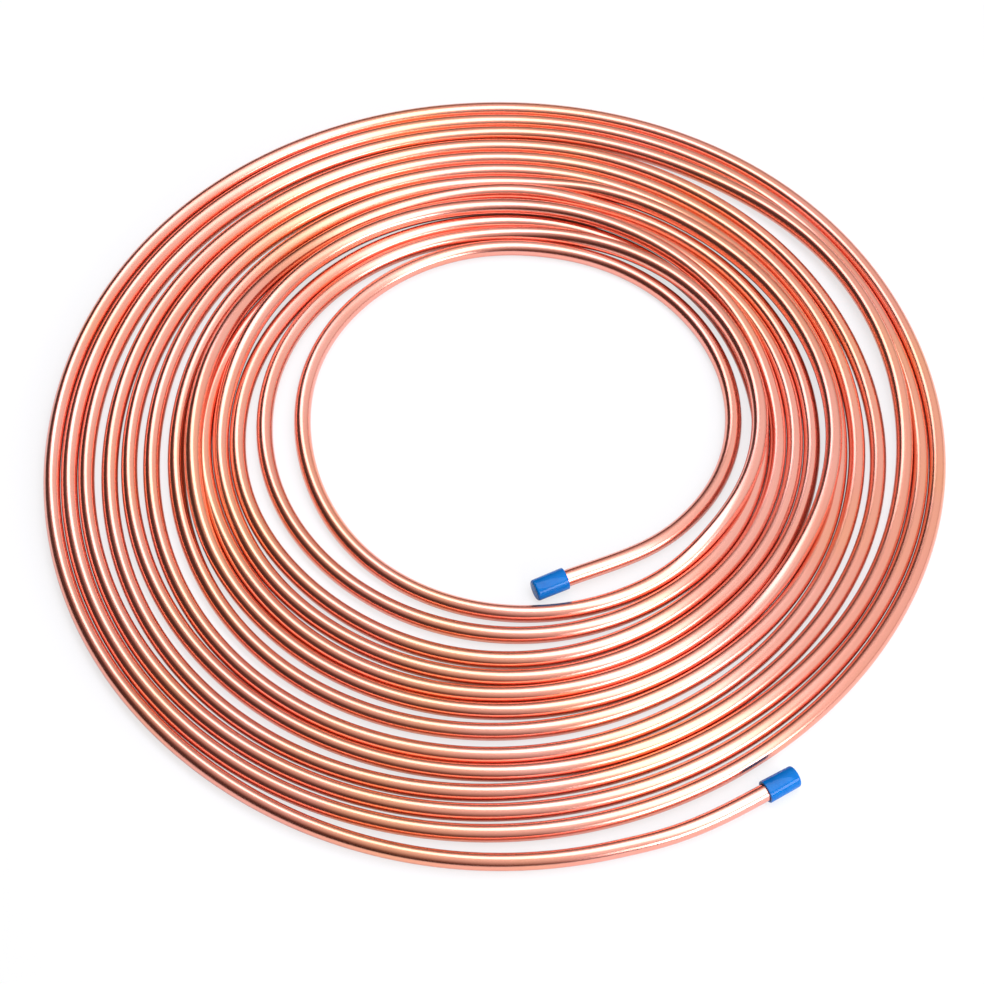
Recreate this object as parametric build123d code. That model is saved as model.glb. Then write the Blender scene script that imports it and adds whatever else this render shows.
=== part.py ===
"""Loose flat coil of soft copper tube with a push-on plastic cap on each end.

Frame: millimetres, +Z up, +Y away from the viewer. The coil lies flat on the floor, and the
origin is on the floor, under the middle of the coil's footprint.
"""
from build123d import *
from math import cos, radians, sin, sqrt
import os

# Tube
tube_od = 6.35
tube_wall = 0.8

# Coil: outside of the packed turns, bore of the innermost turn, and how far the bore lies off the
# middle of the packed turns
coil_od = 337.0
bore_dia = 164.0
bore_shift_x = 10.4
bore_shift_y = 8.8

# Turns that the ring's ends show besides the two loose ones in the bore, and how much higher they
# are bunched behind than in front
shown_turns = 7
bunch_rise = 3.6

# Crescent gaps that go right through the coil: the bearing of the widest place, the width there, and
# how far the gap reaches to either side. The first is between the two innermost turns and the second
# between them and the packed turns. The side gap lies inside this many of the packed turns and takes
# up a share of the next one's width
first_gap_bearing = 195.0
first_gap_width = 5.8
first_gap_reach = 127.0
second_gap_bearing = 214.0
second_gap_width = 5.4
second_gap_reach = 93.0
side_gap_bearing = 40.0
side_gap_width_share = 0.64
side_gap_reach = 58.0
side_gap_turn = 2

# Valleys between neighbouring turns on the upper end. Along a free rim the valley runs this far off
# it, so that no lip is left standing
valley_width_share = 0.6
valley_depth_share = 0.3
rim_ease = 0.1

# Every second turn is lifted off the floor by the ones beside it, which shows on the lower end
lift_share = 0.2

# Outer tail: the last turn peels away from the coil and ends in front, on the right
outer_leave_bearing = 146.0
outer_sweep = 154.0
outer_gap = 3.4
outer_straight = 16.0

# Inner tail: the first turn starts inside the bore, in front, and joins the coil on the right
inner_leave_bearing = 12.0
inner_sweep = 77.0
inner_bend_share = 0.8
inner_gap = 1.8

# Flats round a tail's bend, which take fewer faces than a round bend
bend_flats = 16

# How deep a tail's root is sunk into the turn that it leaves
tail_sink = 3.0

# Push-on cap, moulded in soft plastic
cap_length = 12.7
cap_wall = 1.0
cap_end_wall = 1.4
cap_end_chamfer = 0.8
cap_clearance = 0.05
cap_end_gap = 0.3

# One overrun serves all cuts
overrun = 2.0

tube_radius = tube_od / 2
tube_bore_radius = tube_radius - tube_wall
coil_radius = coil_od / 2
bore_radius = bore_dia / 2
cap_bore_radius = tube_radius + cap_clearance
cap_radius = cap_bore_radius + cap_wall

# A cap is wider than the tube, so it lies on the floor and carries the tube's end at this height
tail_height = cap_radius

# Radii of the turns' centre lines at the roots of the tails
outer_root_radius = coil_radius - tube_radius - tail_sink
inner_root_radius = bore_radius + tube_radius + tail_sink

# The inner tail's bend is tighter than the bore by this share
inner_bend_radius = inner_bend_share * bore_radius

# The outer tail's bend is struck from a centre this far off the coil's, so that the tube has come
# clear of the coil by the gap where its straight end starts
outer_peel = (outer_gap + tube_od + tail_sink) / (1 - cos(radians(outer_sweep)))


def bearing(angle):
    """Unit vector in plan at this bearing, in degrees from +X."""
    return Vector(cos(radians(angle)), sin(radians(angle)), 0)


def across_gap(circle, widest_bearing, width, reach):
    """Circle on the far side of a crescent gap that opens outside this circle, given as middle and radius."""
    middle, radius = circle
    shift = width / (1 - cos(radians(reach)))
    return middle + bearing(widest_bearing) * shift, radius + width - shift


# Circles that the turns lie between, from the bore outwards
bore_circle = (Vector(bore_shift_x, bore_shift_y, 0), bore_radius)
first_outside = (bore_circle[0], bore_radius + tube_od)
second_inside = across_gap(first_outside, first_gap_bearing, first_gap_width, first_gap_reach)
second_outside = (second_inside[0], second_inside[1] + tube_od)
packed_inside = across_gap(second_outside, second_gap_bearing, second_gap_width, second_gap_reach)


def packed_circle(turn):
    """Circle on the outside of this packed turn, counted inwards from 0."""
    share = turn / shown_turns
    return packed_inside[0] * share, coil_radius + (packed_inside[1] - coil_radius) * share


side_inside = packed_circle(side_gap_turn)
side_gap_width = side_gap_width_share * (coil_radius - packed_inside[1]) / shown_turns
side_outside = across_gap(side_inside, side_gap_bearing, side_gap_width, side_gap_reach)
gaps = [(first_outside, second_inside), (second_outside, packed_inside), (side_inside, side_outside)]


def disc(circle, height):
    """Upright disc over a circle on the floor."""
    return Pos(circle[0]) * Cylinder(circle[1], height, align=(Align.CENTER, Align.CENTER, Align.MIN))


def valley(circle, ease):
    """Ring cut for the valley along a circle between two turns, opening upwards from z = 0."""
    middle = circle[0]
    radius = circle[1] + ease
    half_width = valley_width_share * tube_od / 2
    depth = valley_depth_share * tube_od
    top_half_width = half_width * (depth + overrun) / depth
    outline = Polyline(
        (radius, 0, -depth),
        (radius + top_half_width, 0, overrun),
        (radius - top_half_width, 0, overrun),
        close=True,
    )
    return Pos(middle) * revolve(make_face(outline), Axis.Z)


def wound_ring(top):
    """The wound turns as one ring: flat on the floor, bounded above by the plane through their tops."""
    tall = tube_od + bunch_rise + overrun
    ring = split(disc((Vector(0, 0, 0), coil_radius), tall), bisect_by=top, keep=Keep.BOTTOM)
    cuts = [disc(bore_circle, tall)]

    # The first and last valleys fall on the rims and slope the outer and inner turns' free sides
    outsides = [packed_circle(turn) for turn in range(shown_turns)]
    for circle in outsides + [second_outside, first_outside]:
        cuts.append(top.location * valley(circle, rim_ease))
    cuts.append(top.location * valley(bore_circle, -rim_ease))

    # Each gap's far side has a valley too, which stops where the turn inside the gap crosses it
    for inside, outside in gaps:
        cuts.append(disc(outside, tall) - disc(inside, tall))
        cuts.append(top.location * valley(outside, -rim_ease) - disc(inside, tall + overrun))

    lift = lift_share * tube_od
    for turn in range(1, shown_turns, 2):
        cuts.append(disc(packed_circle(turn), lift) - disc(packed_circle(turn + 1), lift))
    return ring - cuts


def outer_tail_path():
    """Centre line of the outer tail: a bend from its root in the last turn, and a straight end."""
    centre = bearing(outer_leave_bearing) * -outer_peel + Vector(0, 0, tail_height)
    bend = CenterArc(centre, outer_root_radius + outer_peel, outer_leave_bearing, outer_sweep)
    return bend, Line(bend @ 1, bend @ 1 + (bend % 1) * outer_straight)


def inner_tail_path():
    """Centre line of the inner tail: a bend from its root in the first turn, and a straight end."""
    offset = inner_root_radius - inner_bend_radius
    centre = Vector(bore_shift_x, bore_shift_y, tail_height) + bearing(inner_leave_bearing) * offset
    bend = CenterArc(centre, inner_bend_radius, inner_leave_bearing, -inner_sweep)

    # The straight end runs on until its cap's outer corner is the gap away from the bore's wall
    corner_aside = offset * cos(radians(inner_sweep)) + inner_bend_radius + cap_radius
    corner_ahead = sqrt((bore_radius - inner_gap) ** 2 - corner_aside ** 2)
    straight = corner_ahead + offset * sin(radians(inner_sweep)) - cap_end_gap - cap_end_wall
    return bend, Line(bend @ 1, bend @ 1 + (bend % 1) * straight)


def tube_along(path, radius):
    """Round bar of this radius along a path."""
    start = Plane(origin=path @ 0, z_dir=path % 0)
    return sweep(start * Circle(radius), path=path)


def bent_bar(bend):
    """Bar along a bend, with enough flats round it to look round."""
    start = Plane(origin=bend @ 0, z_dir=bend % 0)
    section = RegularPolygon(tube_radius, bend_flats, major_radius=False, rotation=180 / bend_flats)
    return sweep(start * section, path=bend)


def end_cap():
    """Cap along +Z, open below, with the tube's end face at z = 0."""
    end_top = cap_end_gap + cap_end_wall
    mouth = end_top - cap_length
    outline = Polyline(
        (cap_bore_radius, 0, mouth),
        (cap_radius, 0, mouth),
        (cap_radius, 0, end_top - cap_end_chamfer),
        (cap_radius - cap_end_chamfer, 0, end_top),
        (0, 0, end_top),
        (0, 0, cap_end_gap),
        (cap_bore_radius, 0, cap_end_gap),
        close=True,
    )
    return revolve(make_face(outline), Axis.Z)


def at_end(path):
    """Place on a tail's end face, looking out along the tube."""
    return Plane(origin=path @ 1, z_dir=path % 1).location


# The top plane rises from one tube's height in front to the bunched turns' height behind
front_top = Vector(0, -coil_radius, tube_od)
back_top = Vector(0, coil_radius, tube_od + bunch_rise)
top_plane = Plane(
    origin=(front_top + back_top) / 2,
    x_dir=(1, 0, 0),
    z_dir=Vector(1, 0, 0).cross(back_top - front_top),
)

outer_bend, outer_end = outer_tail_path()
inner_bend, inner_end = inner_tail_path()

coil = wound_ring(top_plane)
for bend, end in ((outer_bend, outer_end), (inner_bend, inner_end)):
    coil += bent_bar(bend)
    coil += tube_along(end, tube_radius)
coil -= [tube_along(outer_end, tube_bore_radius), tube_along(inner_end, tube_bore_radius)]

# The outer tail reaches further forward than the ring does, so the footprint's middle lies ahead
# of the ring's middle
front_reach = bearing(outer_leave_bearing).Y * outer_peel + outer_root_radius + outer_peel + tube_radius
from_ring_to_frame = Pos(0, (front_reach - coil_radius) / 2, 0)

os.makedirs("parts", exist_ok=True)
export_step(from_ring_to_frame * coil, "parts/tube_coil.step")
export_step(from_ring_to_frame * at_end(inner_end) * end_cap(), "parts/inner_end_cap.step")
export_step(from_ring_to_frame * at_end(outer_end) * end_cap(), "parts/outer_end_cap.step")
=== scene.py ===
import math

import bpy
import numpy as np
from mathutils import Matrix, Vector


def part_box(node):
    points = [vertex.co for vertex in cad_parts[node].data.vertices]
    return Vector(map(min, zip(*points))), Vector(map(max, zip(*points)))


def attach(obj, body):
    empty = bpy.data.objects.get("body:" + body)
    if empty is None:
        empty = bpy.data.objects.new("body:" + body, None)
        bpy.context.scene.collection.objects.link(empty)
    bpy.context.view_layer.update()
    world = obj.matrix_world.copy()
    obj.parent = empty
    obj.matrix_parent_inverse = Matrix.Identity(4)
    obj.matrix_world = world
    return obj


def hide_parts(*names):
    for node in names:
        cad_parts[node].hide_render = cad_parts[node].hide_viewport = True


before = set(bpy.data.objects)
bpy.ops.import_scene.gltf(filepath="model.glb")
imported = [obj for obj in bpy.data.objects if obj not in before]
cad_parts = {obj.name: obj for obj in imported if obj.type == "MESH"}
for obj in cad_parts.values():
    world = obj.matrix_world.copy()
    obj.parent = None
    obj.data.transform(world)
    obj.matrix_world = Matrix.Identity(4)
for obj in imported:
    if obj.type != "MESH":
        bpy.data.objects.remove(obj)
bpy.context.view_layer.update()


# Copper tube
# One length of soft copper tube, drawn bright and wound by hand into thirteen loose turns. They lie on
# the floor, touch, ride up on one another and leave gaps, and each end is pushed into a cap.
mm = 0.001
tube_radius = 3.175 * mm
tube_wall = 0.8 * mm
tube_bore_depth = 6.0 * mm

# Lay of the turns: radius of the centre line in mm about the lay's own centre, one row a turn from the
# inside, at these bearings in degrees. Two leads join the first and last turns to the tube's ends
lay_centre = Vector((-0.4, -2.27)) * mm
lay_bearings = (-45, 0, 45, 90, 135, 180, 225, 270)
lay_radii = (
    (66.3, 90.5, 101.5, 99.0, 86.8, 71.0, 66.3, 68.5),
    (81.8, 101.7, 108.3, 105.5, 99.0, 86.0, 77.6, 78.3),
    (88.3, 103.0, 111.0, 111.0, 105.3, 98.0, 89.2, 89.0),
    (95.4, 108.3, 115.5, 116.0, 111.8, 105.0, 97.0, 96.3),
    (102.2, 114.7, 120.7, 121.0, 115.6, 108.7, 104.5, 102.6),
    (108.5, 120.5, 127.3, 126.5, 119.8, 112.6, 110.9, 109.3),
    (115.2, 129.9, 133.5, 132.0, 128.2, 119.4, 120.4, 117.0),
    (120.6, 131.0, 138.0, 138.0, 136.2, 129.0, 130.3, 127.0),
    (129.4, 137.8, 143.5, 144.0, 142.4, 138.0, 136.9, 133.4),
    (137.0, 147.3, 149.3, 149.8, 149.0, 144.8, 146.6, 140.8),
    (143.5, 157.8, 163.0, 157.5, 157.0, 154.5, 153.0, 148.8),
    (150.8, 162.0, 167.0, 163.8, 163.4, 160.3, 160.0, 157.0),
    (158.2, 167.8, 171.5, 170.5, 170.8, 167.0, 165.4, 167.7),
)
inner_lead = ((-71, 63.1), (-55, 64.0), (-42, 67.3), (-29, 74.6), (-20, 79.8), (-11, 85.2))
outer_lead = ((287.5, 168.0), (300.5, 168.2), (306.0, 171.2))
full_turn = 360.0

# The inner lead stands in for the first turn's start, at bearings below zero
knots = list(inner_lead)
for turn, row in enumerate(lay_radii):
    knots += [(b + full_turn * turn, r) for b, r in zip(lay_bearings, row) if turn or b >= 0]
knots += [(b + full_turn * (len(lay_radii) - 1), r) for b, r in outer_lead]
knot_bearings, knot_radii = np.array(knots).T
samples_per_turn = 180
bearings = np.arange(knot_bearings[0], knot_bearings[-1], full_turn / samples_per_turn)


def curve_through(places, knots, values):
    """Smooth curve through the values at the knots, read at these places."""
    slopes = np.gradient(values, knots)
    before = np.clip(np.searchsorted(knots, places, side="right") - 1, 0, len(knots) - 2)
    step = knots[before + 1] - knots[before]
    part = (places - knots[before]) / step
    rest = 1 - part
    ends = (1 + 2 * part) * rest ** 2 * values[before] + (1 + 2 * rest) * part ** 2 * values[before + 1]
    bends = part * rest * step * (rest * slopes[before] - part * slopes[before + 1])
    return ends + bends


# A smoothing weight is taken as nothing past this many spreads
spreads_reached = 3


def smoothed(values, spread):
    """Values along the tube, smoothed over about this many samples."""
    reach = spreads_reached * spread
    weights = np.exp(-0.5 * (np.arange(-reach, reach + 1) / spread) ** 2)
    padded = np.pad(values, reach, mode="reflect", reflect_type="odd")
    return np.convolve(padded, weights / weights.sum(), mode="valid")


# Hand winding leaves a slight wobble in every turn
wobble_seed = 7
wobble_height = 0.25 * mm
wobble_spread = 9
lay_spread = 4
chance = np.random.default_rng(wobble_seed)


def drift(count, spread):
    """Slow random change along the tube, with a standard deviation of one."""
    margin = spreads_reached * spread
    values = smoothed(chance.normal(size=count + 2 * margin), spread)[margin:-margin]
    return values / values.std()


wobble = wobble_height * drift(len(bearings), wobble_spread)
wanted_radii = smoothed(curve_through(bearings, knot_bearings, knot_radii) * mm, lay_spread) + wobble

# Turns that lie on top where two or more cross: turn counted from 1, bearing, half-length in degrees
riders = (
    (2, 10, 45), (7, 5, 40), (11, 10, 40), (13, 45, 30), (4, 60, 30), (4, 160, 40), (6, 160, 40),
    (6, 75, 30), (8, 80, 30), (10, 90, 25), (12, 110, 25),
)
rider_height = 6.0 * mm
radii = wanted_radii.copy()
heights = np.full(len(bearings), tube_radius)
for turn, bearing, half_length in riders:
    away = (bearings - bearing - full_turn * (turn - 1)) / half_length
    heights += rider_height * np.exp(-away ** 2)

# The tube settles: it sinks, is drawn towards its lay, and tubes at the same bearing push one another
# apart while it stays smooth. The last rounds only push, so that no turn is left inside another
settle_rounds = 520
sinking_rounds = 460
smooth_every = 5
sinking_spread = 2
last_spread = 1
sink = 0.05 * mm
pull_share = 0.03
push_share = 0.5
sideways_share = 0.4
turns_that_meet = (1, 2, 3)
contact_slack = 0.12 * mm
contact = 2 * tube_radius + contact_slack
least_gap = 0.3 * mm
for settle in range(settle_rounds):
    sinking = settle < sinking_rounds
    if sinking:
        heights -= sink
        radii += pull_share * (wanted_radii - radii)
    if settle % smooth_every == 0:
        spread = sinking_spread if sinking else last_spread
        heights = smoothed(heights, spread)
        radii = smoothed(radii, spread)
    for apart in turns_that_meet:
        near = slice(0, len(radii) - apart * samples_per_turn)
        far = slice(apart * samples_per_turn, None)
        across = radii[far] - radii[near]
        upward = heights[far] - heights[near]
        gap = np.maximum(np.hypot(across, upward), least_gap)
        push = push_share * np.maximum(contact - gap, 0) / gap
        radii[near] -= sideways_share * push * across
        radii[far] += sideways_share * push * across
        heights[near] -= push * upward
        heights[far] += push * upward
    heights = np.maximum(heights, tube_radius)
heights = smoothed(heights, last_spread)
radii = smoothed(radii, last_spread)
angles = np.radians(bearings)
line = np.stack(
    [lay_centre.x + radii * np.cos(angles), lay_centre.y + radii * np.sin(angles), heights], axis=1)


def distance_along(points):
    """Distance along a line of points, from its first one."""
    return np.concatenate([[0], np.cumsum(np.linalg.norm(np.diff(points, axis=0), axis=1))])


def spaced(points, spacing):
    """Points at even spacing along a line of points."""
    run = distance_along(points)
    places = np.linspace(0, run[-1], int(run[-1] / spacing) + 1)
    return np.stack([np.interp(places, run, points[:, axis]) for axis in range(3)], axis=1)


# Each end of the tube is led straight into its cap, along the cap's heading in degrees. The end lies
# this far past the cap's middle. The line is cut where it comes nearest to that place, which is sought
# along this much of it
cap_headings = {"inner_end_cap": -155.0, "outer_end_cap": 30.0}
end_past_cap_middle = 4.65 * mm
lead_length = 60.0 * mm
searched_length = 3 * lead_length
fine_spacing = 1.0 * mm
ring_spacing = 2.65 * mm


def led_into_cap(points, cap):
    """The line with its first stretch drawn over onto the axis of a cap."""
    low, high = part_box(cap)
    heading = math.radians(cap_headings[cap])
    outward = np.array([math.cos(heading), math.sin(heading), 0])
    end = np.array((low + high) / 2) + outward * end_past_cap_middle
    searched = points[:int(searched_length / fine_spacing)]
    points = points[np.argmin(np.linalg.norm(searched - end, axis=1)):]
    run = distance_along(points)
    on_axis = end - outward * run[:, None]
    share = np.clip(1 - run / lead_length, 0, 1)
    share = (share * share * (3 - 2 * share))[:, None]
    return points * (1 - share) + on_axis * share


line = spaced(line, fine_spacing)
line = led_into_cap(line, "inner_end_cap")
line = led_into_cap(line[::-1], "outer_end_cap")[::-1]
line = spaced(line, ring_spacing)

# With this many extra steps the tube has 24 sides
bevel_steps = 10
bpy.ops.object.select_all(action="DESELECT")
bpy.ops.curve.primitive_nurbs_path_add(location=(0, 0, 0))
tube = bpy.context.object
tube.name = "copper_tube"
tube.data.splines.clear()
spline = tube.data.splines.new("POLY")
spline.points.add(len(line) - 1)
spline.points.foreach_set("co", np.column_stack([line, np.ones(len(line))]).ravel())
spline.use_smooth = True
tube.data.dimensions = "3D"
tube.data.twist_mode = "Z_UP"
tube.data.bevel_depth = tube_radius
tube.data.bevel_resolution = bevel_steps
bpy.ops.object.convert(target="MESH")

# Winding leaves the soft tube a little oval, more in some stretches than in others. Its ends, in the
# caps, are round
oval_share = 0.015
oval_spread = 14
oval_lean_spread = 30
rings = np.empty(len(tube.data.vertices) * 3)
tube.data.vertices.foreach_get("co", rings)
rings = rings.reshape(len(line), -1, 3)
aside = rings - line[:, None]
heading = np.gradient(line, axis=0)
heading /= np.linalg.norm(heading, axis=1)[:, None]
across = np.cross(heading, (0, 0, 1))
across /= np.linalg.norm(across, axis=1)[:, None]
over = np.cross(across, heading)
run = distance_along(line)
from_ends = np.minimum(run, run[-1] - run)
oval = oval_share * drift(len(line), oval_spread) * np.clip(from_ends / lead_length, 0, 1)
lean = math.pi / 2 * drift(len(line), oval_lean_spread)
wide_way = across * np.cos(lean)[:, None] + over * np.sin(lean)[:, None]
narrow_way = over * np.cos(lean)[:, None] - across * np.sin(lean)[:, None]
for way, share in ((wide_way, oval), (narrow_way, -oval)):
    aside += (share[:, None] * (aside * way[:, None]).sum(axis=2))[:, :, None] * way[:, None]
rings = line[:, None] + aside

# A ring that the oval takes below the floor is lifted back onto it
rings[:, :, 2] += np.maximum(-rings[:, :, 2].min(axis=1), 0)[:, None]
tube.data.vertices.foreach_set("co", rings.ravel())
tube.data.update()

# Both ends are cut square, with the tube's bore open in them. A rim's corners lie within these shares
# of the tube's radius from the end, across the tube and along it
bore_share = 1 - tube_wall / tube_radius
rim_reach_share = 1.1
rim_depth_share = 0.1
smooth_angle = math.radians(35)
for end, beside in ((line[0], line[1]), (line[-1], line[-2])):
    end = Vector(end)
    inward = (Vector(beside) - end).normalized()
    bpy.ops.object.mode_set(mode="EDIT")
    bpy.ops.mesh.select_mode(type="VERT")
    bpy.ops.mesh.select_all(action="DESELECT")
    bpy.ops.object.mode_set(mode="OBJECT")
    for vertex in tube.data.vertices:
        aside = vertex.co - end
        near_end = aside.length < rim_reach_share * tube_radius
        vertex.select = near_end and abs(aside.dot(inward)) < rim_depth_share * tube_radius
    bpy.ops.object.mode_set(mode="EDIT")
    bpy.ops.mesh.extrude_edges_move()
    bpy.ops.transform.resize(value=(bore_share, bore_share, bore_share), center_override=end)
    bpy.ops.mesh.extrude_edges_move(TRANSFORM_OT_translate={"value": inward * tube_bore_depth})
    bpy.ops.mesh.edge_face_add()
    bpy.ops.object.mode_set(mode="OBJECT")
bpy.ops.object.mode_set(mode="EDIT")
bpy.ops.mesh.select_all(action="SELECT")
bpy.ops.mesh.normals_make_consistent(inside=False)
bpy.ops.object.mode_set(mode="OBJECT")
bpy.ops.object.shade_smooth_by_angle(angle=smooth_angle)

# Bright copper: tint and polish change a little from stretch to stretch, and fine lines from the
# drawing die run along the tube
copper_orange = (0.865, 0.385, 0.235, 1)
copper_salmon = (0.865, 0.365, 0.27, 1)
copper_pink = (0.885, 0.41, 0.33, 1)
patch_scale = 14.0
patch_detail = 3.0
draw_line_scale = (160.0, 36.0, 1.0)
draw_line_detail = 4.0
polished = 0.17
dulled = 0.27
groove_strength = 0.08
groove_depth = 0.05 * mm

copper = bpy.data.materials.new("copper")
copper.use_nodes = True
nodes = copper.node_tree.nodes
links = copper.node_tree.links
shader = nodes["Principled BSDF"]
shader.inputs["Metallic"].default_value = 1.0
coords = nodes.new("ShaderNodeTexCoord")

patches = nodes.new("ShaderNodeTexNoise")
patches.inputs["Scale"].default_value = patch_scale
patches.inputs["Detail"].default_value = patch_detail
links.new(coords.outputs["Object"], patches.inputs["Vector"])
tint = nodes.new("ShaderNodeValToRGB")
tint.color_ramp.elements[0].position = 0.34
tint.color_ramp.elements[0].color = copper_orange
tint.color_ramp.elements[1].position = 0.66
tint.color_ramp.elements[1].color = copper_pink
tint.color_ramp.elements.new(0.5).color = copper_salmon
links.new(patches.outputs["Fac"], tint.inputs["Fac"])
links.new(tint.outputs["Color"], shader.inputs["Base Color"])

along = nodes.new("ShaderNodeMapping")
along.inputs["Scale"].default_value = draw_line_scale
links.new(coords.outputs["UV"], along.inputs["Vector"])
draw_lines = nodes.new("ShaderNodeTexNoise")
draw_lines.inputs["Scale"].default_value = 1.0
draw_lines.inputs["Detail"].default_value = draw_line_detail
links.new(along.outputs["Vector"], draw_lines.inputs["Vector"])
polish = nodes.new("ShaderNodeMapRange")
polish.inputs["From Min"].default_value = 0.3
polish.inputs["From Max"].default_value = 0.7
polish.inputs["To Min"].default_value = polished
polish.inputs["To Max"].default_value = dulled
links.new(draw_lines.outputs["Fac"], polish.inputs["Value"])
links.new(polish.outputs["Result"], shader.inputs["Roughness"])
grooves = nodes.new("ShaderNodeBump")
grooves.inputs["Strength"].default_value = groove_strength
grooves.inputs["Distance"].default_value = groove_depth
links.new(draw_lines.outputs["Fac"], grooves.inputs["Height"])
links.new(grooves.outputs["Normal"], shader.inputs["Normal"])

tube.data.materials.clear()
tube.data.materials.append(copper)
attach(tube, "root")
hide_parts("tube_coil")


# End caps
# Two push-on caps dipped in soft blue vinyl, open at one end, with a rounded closed end. Each is pushed
# over an end of the tube until the tube nearly meets the closed end.
cap_radius = 4.2 * mm
cap_length = 12.7 * mm
cap_wall = 0.95 * mm
cap_end_wall = 1.4 * mm
cap_end_round = 0.9 * mm
cap_end_steps = 6
cap_mouth_round = 0.2 * mm
cap_mouth_steps = 3
cap_crown = 0.25 * mm
cap_crown_inset = 1.6 * mm
cap_taper_share = 0.965
cap_sides = 64

vinyl_deep = (0.0, 0.128, 0.44, 1)
vinyl_bright = (0.0, 0.158, 0.50, 1)
vinyl_mirror = 0.18
cloud_scale = 260.0
cloud_detail = 3.0
glossiest = 0.03
least_glossy = 0.08
skin_scale = 900.0
dimple_strength = 0.015
dimple_depth = 0.1 * mm

vinyl = bpy.data.materials.new("blue_vinyl")
vinyl.use_nodes = True
nodes = vinyl.node_tree.nodes
links = vinyl.node_tree.links
shader = nodes["Principled BSDF"]
shader.inputs["Specular IOR Level"].default_value = vinyl_mirror
coords = nodes.new("ShaderNodeTexCoord")
cloud = nodes.new("ShaderNodeTexNoise")
cloud.inputs["Scale"].default_value = cloud_scale
cloud.inputs["Detail"].default_value = cloud_detail
links.new(coords.outputs["Object"], cloud.inputs["Vector"])
blue = nodes.new("ShaderNodeValToRGB")
blue.color_ramp.elements[0].position = 0.3
blue.color_ramp.elements[0].color = vinyl_deep
blue.color_ramp.elements[1].position = 0.7
blue.color_ramp.elements[1].color = vinyl_bright
links.new(cloud.outputs["Fac"], blue.inputs["Fac"])
links.new(blue.outputs["Color"], shader.inputs["Base Color"])
gloss = nodes.new("ShaderNodeMapRange")
gloss.inputs["To Min"].default_value = glossiest
gloss.inputs["To Max"].default_value = least_glossy
links.new(cloud.outputs["Fac"], gloss.inputs["Value"])
links.new(gloss.outputs["Result"], shader.inputs["Roughness"])
skin = nodes.new("ShaderNodeTexNoise")
skin.inputs["Scale"].default_value = skin_scale
links.new(coords.outputs["Object"], skin.inputs["Vector"])
dimples = nodes.new("ShaderNodeBump")
dimples.inputs["Strength"].default_value = dimple_strength
dimples.inputs["Distance"].default_value = dimple_depth
links.new(skin.outputs["Fac"], dimples.inputs["Height"])
links.new(dimples.outputs["Normal"], shader.inputs["Normal"])

# How near a corner lies to the height and radius it is sought at, and how squarely a flat end faces
corner_slack = 0.02 * mm
flat_slack = 0.01 * mm
rim_slack = 0.1 * mm
facing_out = 0.5
facing_up = 0.99


def select_edges_at(mesh, height, radius):
    """Selects the ring of edges at this height and radius about the cap's axis."""
    for edge in mesh.edges:
        ends = [mesh.vertices[v].co for v in edge.vertices]
        edge.select = all(
            abs(p.z - height) < corner_slack and abs(p.xy.length - radius) < corner_slack for p in ends)


for cap_name, heading in cap_headings.items():
    low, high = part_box(cap_name)
    bpy.ops.object.select_all(action="DESELECT")
    bpy.ops.mesh.primitive_cylinder_add(
        vertices=cap_sides, radius=cap_radius, depth=cap_length, location=(0, 0, 0))
    cap = bpy.context.object
    cap.name = "vinyl_" + cap_name
    top = cap_length / 2

    # The bore is sunk from the mouth, below
    bpy.ops.object.mode_set(mode="EDIT")
    bpy.ops.mesh.select_all(action="DESELECT")
    bpy.ops.object.mode_set(mode="OBJECT")
    for polygon in cap.data.polygons:
        polygon.select = polygon.normal.z < -facing_out
    bpy.ops.object.mode_set(mode="EDIT")
    bpy.ops.mesh.select_mode(type="FACE")
    bpy.ops.mesh.inset(thickness=cap_wall)
    bpy.ops.mesh.extrude_region_move(
        TRANSFORM_OT_translate={"value": (0, 0, cap_length - cap_end_wall)})
    bpy.ops.object.mode_set(mode="OBJECT")

    # The closed end is drawn in a little, rounded and crowned, and the mouth's edges are eased
    for vertex in cap.data.vertices:
        if vertex.co.z > top - rim_slack and vertex.co.xy.length > cap_radius - rim_slack:
            vertex.co.x *= cap_taper_share
            vertex.co.y *= cap_taper_share
    for height, radius, width, steps in (
        (top, cap_radius * cap_taper_share, cap_end_round, cap_end_steps),
        (-top, cap_radius, cap_mouth_round, cap_mouth_steps),
        (-top, cap_radius - cap_wall, cap_mouth_round, cap_mouth_steps),
    ):
        bpy.ops.object.mode_set(mode="EDIT")
        bpy.ops.mesh.select_mode(type="EDGE")
        bpy.ops.mesh.select_all(action="DESELECT")
        bpy.ops.object.mode_set(mode="OBJECT")
        select_edges_at(cap.data, height, radius)
        bpy.ops.object.mode_set(mode="EDIT")
        bpy.ops.mesh.bevel(offset=width, segments=steps, affect="EDGES")
        bpy.ops.object.mode_set(mode="OBJECT")
    bpy.ops.object.mode_set(mode="EDIT")
    bpy.ops.mesh.select_mode(type="FACE")
    bpy.ops.mesh.select_all(action="DESELECT")
    bpy.ops.object.mode_set(mode="OBJECT")
    for polygon in cap.data.polygons:
        polygon.select = polygon.center.z > top - flat_slack and polygon.normal.z > facing_up
    bpy.ops.object.mode_set(mode="EDIT")
    bpy.ops.mesh.inset(thickness=cap_crown_inset)
    bpy.ops.transform.translate(value=(0, 0, cap_crown))
    bpy.ops.object.mode_set(mode="OBJECT")

    cap.rotation_euler = (0, math.radians(90), math.radians(heading))
    cap.location = (low + high) / 2
    bpy.ops.object.transform_apply(location=True, rotation=True, scale=True)
    bpy.ops.object.shade_smooth_by_angle(angle=smooth_angle)
    cap.data.materials.clear()
    cap.data.materials.append(vinyl)
    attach(cap, "root")
    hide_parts(cap_name)


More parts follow.
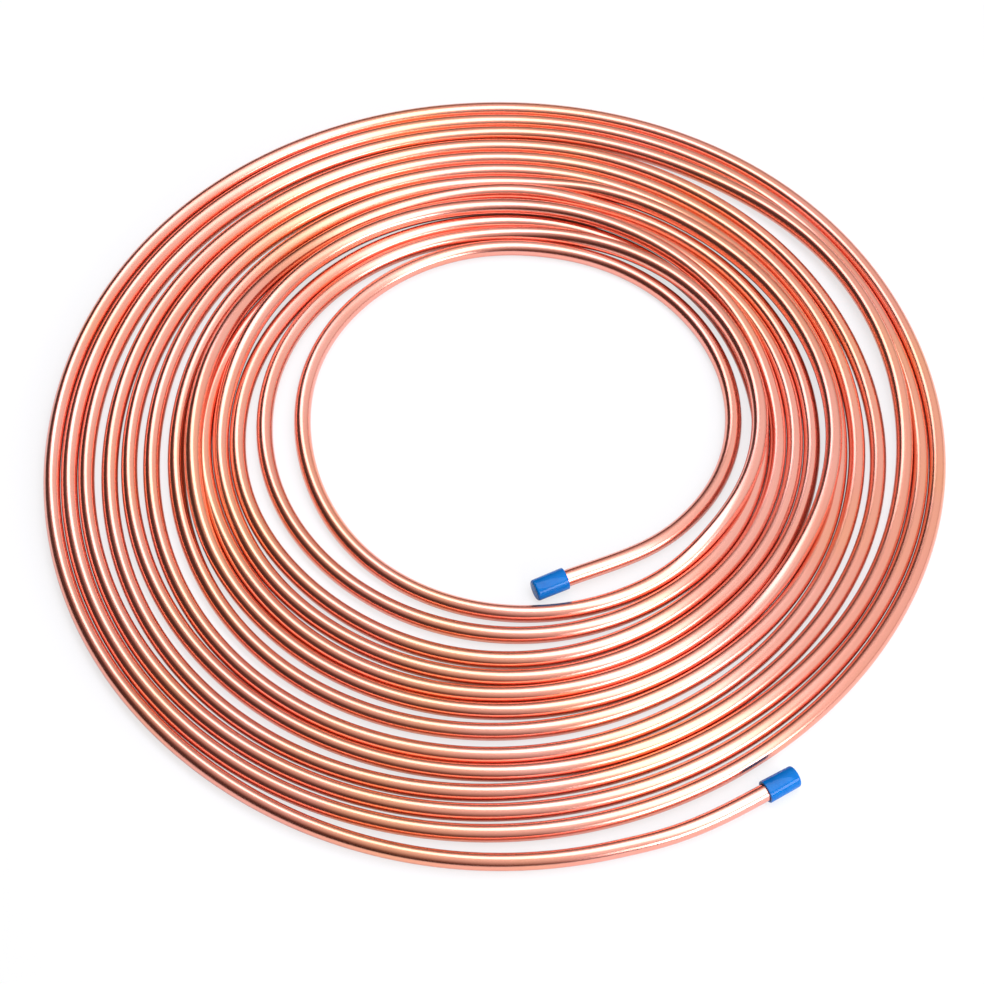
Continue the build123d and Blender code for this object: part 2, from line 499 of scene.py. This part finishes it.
# Floor, light and camera
# A plain white floor under a dome of soft light that is brightest on the right, with one strip light
# overhead and one low in front on the right. The camera stands at the photograph's angle.
floor_size = 12.0
floor_white = (0.92, 0.92, 0.92, 1)
floor_roughness = 0.9
floor_seen = 0.7
floor_mirrored = 0.08


def glow_share(nodes, links, seen, mirrored):
    """Output with the share of plain white in what the camera sees, and in what shiny surfaces show."""
    rays = nodes.new("ShaderNodeLightPath")
    shiny = nodes.new("ShaderNodeMath")
    shiny.operation = "MAXIMUM"
    links.new(rays.outputs["Is Glossy Ray"], shiny.inputs[0])
    links.new(rays.outputs["Is Transmission Ray"], shiny.inputs[1])
    shiny_share = nodes.new("ShaderNodeMath")
    shiny_share.operation = "MULTIPLY"
    shiny_share.inputs[1].default_value = mirrored
    links.new(shiny.outputs["Value"], shiny_share.inputs[0])
    share = nodes.new("ShaderNodeMath")
    share.operation = "MULTIPLY_ADD"
    share.inputs[1].default_value = seen
    links.new(rays.outputs["Is Camera Ray"], share.inputs[0])
    links.new(shiny_share.outputs["Value"], share.inputs[2])
    return share.outputs["Value"]


bpy.ops.object.select_all(action="DESELECT")
bpy.ops.mesh.primitive_plane_add(size=floor_size, location=(0, 0, 0))
floor = bpy.context.object
floor.name = "floor"
white = bpy.data.materials.new("white_floor")
white.use_nodes = True
nodes = white.node_tree.nodes
links = white.node_tree.links
matt = nodes["Principled BSDF"]
matt.inputs["Base Color"].default_value = floor_white
matt.inputs["Roughness"].default_value = floor_roughness
matt.inputs["Specular IOR Level"].default_value = 0.0
glow = nodes.new("ShaderNodeEmission")
glow.inputs["Strength"].default_value = 1.0
lit = nodes.new("ShaderNodeMixShader")
links.new(glow_share(nodes, links, floor_seen, floor_mirrored), lit.inputs["Fac"])
links.new(matt.outputs["BSDF"], lit.inputs[1])
links.new(glow.outputs["Emission"], lit.inputs[2])
links.new(lit.outputs["Shader"], nodes["Material Output"].inputs["Surface"])
floor.data.materials.append(white)

# The dome is brightest along its axis and dark red at its rim. Each step of it is a place, as the
# cosine of the angle off the axis, and a colour. The camera sees a pale backdrop in its place
dome_axis = (0.55, 0.08, 0.83)
dome_rim = (0.1, (0.03, 0.003, 0.0, 1))
dome_dusk = (0.28, (0.16, 0.06, 0.04, 1))
dome_low_sky = (0.43, (0.40, 0.315, 0.295, 1))
dome_bright = (0.8, (1.0, 1.0, 1.0, 1))
backdrop_white = (0.9, 0.9, 0.9, 1)
backdrop_seen = 1.0
backdrop_mirrored = 0.05
world = bpy.data.worlds.new("studio")
bpy.context.scene.world = world
world.use_nodes = True
nodes = world.node_tree.nodes
links = world.node_tree.links
direction = nodes.new("ShaderNodeTexCoord")
along_axis = nodes.new("ShaderNodeVectorMath")
along_axis.operation = "DOT_PRODUCT"
along_axis.inputs[1].default_value = dome_axis
links.new(direction.outputs["Generated"], along_axis.inputs[0])
dome = nodes.new("ShaderNodeValToRGB")
dome_steps = dome.color_ramp.elements
dome_steps[0].position, dome_steps[0].color = dome_rim
dome_steps[1].position, dome_steps[1].color = dome_bright
for place, colour in (dome_dusk, dome_low_sky):
    dome_steps.new(place).color = colour
links.new(along_axis.outputs["Value"], dome.inputs["Fac"])
dome_light = nodes["Background"]
dome_light.inputs["Strength"].default_value = 1.0
links.new(dome.outputs["Color"], dome_light.inputs["Color"])
backdrop = nodes.new("ShaderNodeBackground")
backdrop.inputs["Color"].default_value = backdrop_white
backdrop.inputs["Strength"].default_value = 1.0
sky = nodes.new("ShaderNodeMixShader")
links.new(glow_share(nodes, links, backdrop_seen, backdrop_mirrored), sky.inputs["Fac"])
links.new(dome_light.outputs["Background"], sky.inputs[1])
links.new(backdrop.outputs["Background"], sky.inputs[2])
links.new(sky.outputs["Shader"], nodes["World Output"].inputs["Surface"])

# A long narrow strip hangs overhead, and a shorter, broader one stands low in front on the right: width
# and length, place, tilt and power of each
strip_turn = math.radians(41.0)
strip_colour = (0.92, 0.97, 1.12)
front_distance = 1.1
front_height = 0.38
front_place = (front_distance * math.sin(strip_turn), -front_distance * math.cos(strip_turn), front_height)
strips = (
    ("overhead_strip", (0.26, 1.4), (0.06, 0.05, 0.58), 0.0, 3.2),
    ("front_strip", (0.7, 0.4), front_place, math.radians(71.0), 7.6),
)
for strip_name, strip_size, strip_place, strip_tilt, strip_power in strips:
    strip_data = bpy.data.lights.new(strip_name, "AREA")
    strip_data.shape = "RECTANGLE"
    strip_data.size, strip_data.size_y = strip_size
    strip_data.energy = strip_power
    strip_data.color = strip_colour
    strip = bpy.data.objects.new(strip_name, strip_data)
    bpy.context.scene.collection.objects.link(strip)
    strip.location = strip_place
    strip.rotation_euler = (strip_tilt, 0, strip_turn)
    strip.visible_camera = False

# The camera looks at the middle of the lay, which lies at this pixel of the photograph
image_width = 984.0
focal_pixels = 2454.6
aim_pixel = (493.5, 457.0)
camera_distance = 0.935
camera_elevation = math.radians(57.0)
sensor_width = 36.0
camera_data = bpy.data.cameras.new("camera")
camera = bpy.data.objects.new("camera", camera_data)
bpy.context.scene.collection.objects.link(camera)
bpy.context.scene.camera = camera
camera.location = (
    lay_centre.x,
    lay_centre.y - camera_distance * math.cos(camera_elevation),
    camera_distance * math.sin(camera_elevation),
)
camera.rotation_euler = (math.radians(90) - camera_elevation, 0, 0)
camera_data.sensor_width = sensor_width
camera_data.lens = focal_pixels / image_width * sensor_width
camera_data.shift_x = -(aim_pixel[0] - image_width / 2) / image_width
camera_data.shift_y = (aim_pixel[1] - image_width / 2) / image_width
bpy.context.scene.view_settings.view_transform = "Standard"
